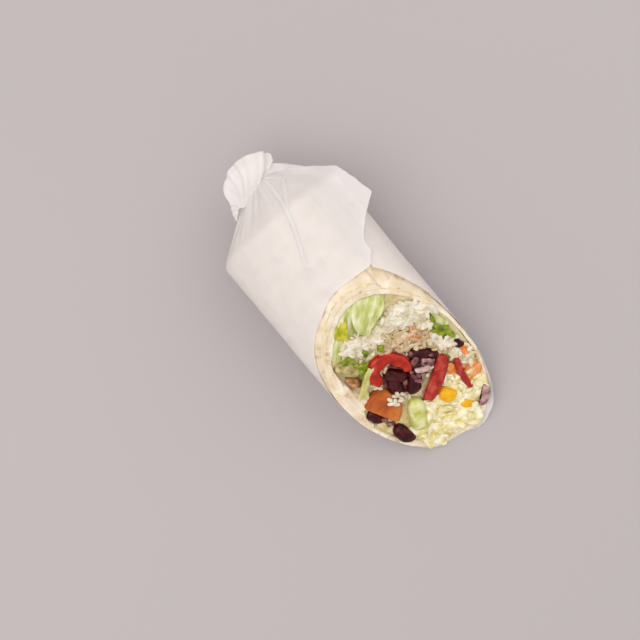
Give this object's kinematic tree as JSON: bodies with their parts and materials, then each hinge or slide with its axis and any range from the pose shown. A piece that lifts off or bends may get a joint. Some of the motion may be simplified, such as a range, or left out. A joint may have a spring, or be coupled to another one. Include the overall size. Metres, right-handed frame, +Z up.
{
  "type": "burrito",
  "caption": "Flour tortilla rolled round rice, beans, peppers and salad, wrapped in thin white paper twisted shut at one end and cut open on a slant at the other.",
  "frame": {"origin": "centre of the bounding box at its lowest level, on the surface that the roll rests on", "axes": "+Z up; +Y along the roll towards the twisted end, so the slanted cut faces -Y and up; +X to the right seen from the cut end"},
  "size_m": [0.0838, 0.1914, 0.0622],
  "materials": {
    "paper": "matte",
    "tortilla": "matte",
    "rice": "satin",
    "cabbage": "satin",
    "red_pepper": "gloss",
    "orange_pepper": "gloss",
    "dark_red_pepper": "gloss",
    "cucumber": "satin",
    "corn": "gloss",
    "kidney_bean": "gloss",
    "split_bean": "satin",
    "mushroom": "satin",
    "brown_mushroom": "satin",
    "onion": "satin",
    "herb": "satin",
    "pale_lettuce": "satin",
    "yellow_lettuce": "satin"
  },
  "bodies": {
    "root": {"paper_wrap": "paper", "tortilla": "tortilla", "rice_filling": "rice", "cabbage_filling": "cabbage", "pepper_ring": "red_pepper", "pepper_chunk": "orange_pepper", "cucumber_stick": "cucumber", "pepper_strip_long": "dark_red_pepper", "pepper_strip_short": "dark_red_pepper", "corn_kernel": "corn", "corn_kernel_low": "corn", "bean_in_ring": "kidney_bean", "bean_below_ring": "kidney_bean", "bean_middle": "kidney_bean", "bean_upper": "kidney_bean", "bean_left": "kidney_bean", "bean_front": "kidney_bean", "bean_right": "split_bean", "bean_rim": "kidney_bean", "mushroom_slice": "mushroom", "mushroom_end": "brown_mushroom", "onion_piece": "onion", "herb_leaf_low": "herb", "herb_leaf_right": "herb", "herb_stem": "herb", "lettuce_leaf": "pale_lettuce", "lettuce_fold": "yellow_lettuce", "lettuce_wall": "pale_lettuce", "lettuce_ribbon": "yellow_lettuce", "lettuce_rim": "pale_lettuce"}
  },
  "joints": []
}
